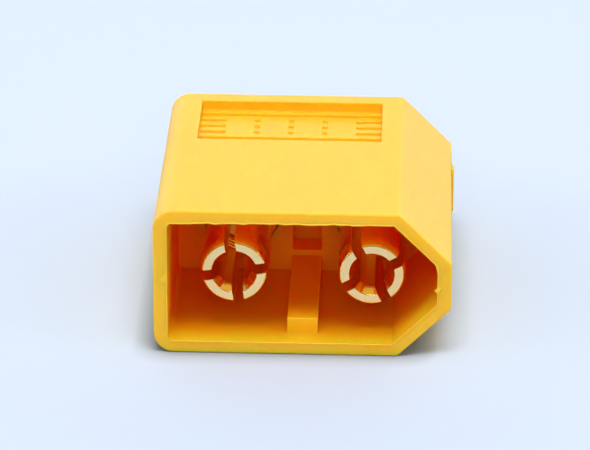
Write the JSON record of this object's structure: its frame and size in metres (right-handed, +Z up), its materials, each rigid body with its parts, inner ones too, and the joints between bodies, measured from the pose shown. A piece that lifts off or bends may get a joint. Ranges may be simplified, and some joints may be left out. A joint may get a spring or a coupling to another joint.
{
  "type": "keyed power connector",
  "caption": "Shrouded half of a keyed high-current power connector: moulded housing, hollow in front, with slotted bullet contacts inside and solder cups behind.",
  "frame": {"origin": "centre of the bounding box's underside, under the body, on the surface that the broad face rests on", "axes": "+Y from the mating face towards the solder cups, +X towards the chamfered corners of the key, +Z up out of the broad face with the broken grooves"},
  "size_m": [0.016, 0.02, 0.0081],
  "materials": {
    "housing": "moulded nylon, warm yellow, fine satin texture",
    "contact": "turned brass, gold plated, polished"
  },
  "bodies": {
    "root": {"housing": "housing", "contact_square_side": "contact", "contact_key_side": "contact"}
  },
  "joints": []
}
